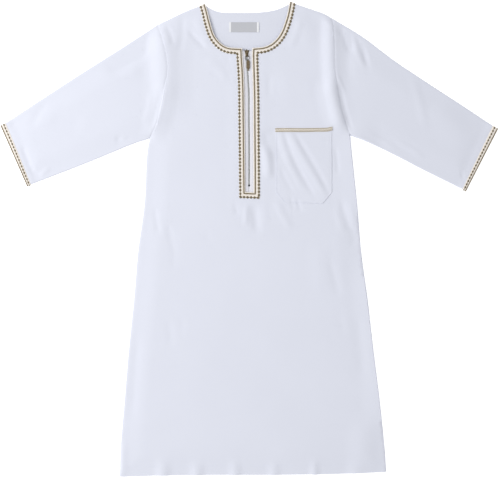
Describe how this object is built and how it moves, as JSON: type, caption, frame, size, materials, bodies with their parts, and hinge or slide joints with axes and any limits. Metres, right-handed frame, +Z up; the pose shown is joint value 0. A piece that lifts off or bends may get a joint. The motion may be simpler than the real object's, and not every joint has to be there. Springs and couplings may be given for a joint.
{
  "type": "thobe robe",
  "caption": "White child's thobe laid flat, front up: open round neck, zipped placket, gold braid on neck, placket and cuffs, and a trimmed chest pocket.",
  "frame": {"origin": "on the floor under the middle of the laid robe's box", "axes": "+Z up out of the front, +Y from the hem to the neck, +X from the wearer's right cuff to the left cuff"},
  "size_m": [0.9962, 0.949, 0.009],
  "materials": {
    "white_cloth": "plain weave poly-cotton, matt, bluish white",
    "gold_braid": "metallic thread braid, antique gold on a cream ground",
    "zip_tape": "twill woven tape, matt white",
    "zip_teeth": "dull silver",
    "dark_metal": "dark nickel",
    "antique_brass": "antique brass, worn bright on its edges",
    "label_satin": "woven satin, white, blank"
  },
  "bodies": {
    "robe": {"front": "white_cloth", "back": "white_cloth", "sleeve_left": "white_cloth", "sleeve_right": "white_cloth", "pocket": "white_cloth", "neck_braid": "gold_braid", "pocket_braid": "gold_braid", "cuff_braid_left": "gold_braid", "cuff_braid_right": "gold_braid", "zip_tape_left": "zip_tape", "zip_tape_right": "zip_tape", "zip_chain": "zip_teeth", "zip_stop": "dark_metal", "zip_slider": "antique_brass", "neck_label": "label_satin"},
    "pull": {"zip_pull": "antique_brass"}
  },
  "joints": [
    {"name": "pull_swing", "type": "hinge", "parent": "robe", "child": "pull", "pos_m": [-0.00494, 0.3683, 0.0067], "axis": [-1, 0, 0], "range_deg": [0, 180]}
  ]
}
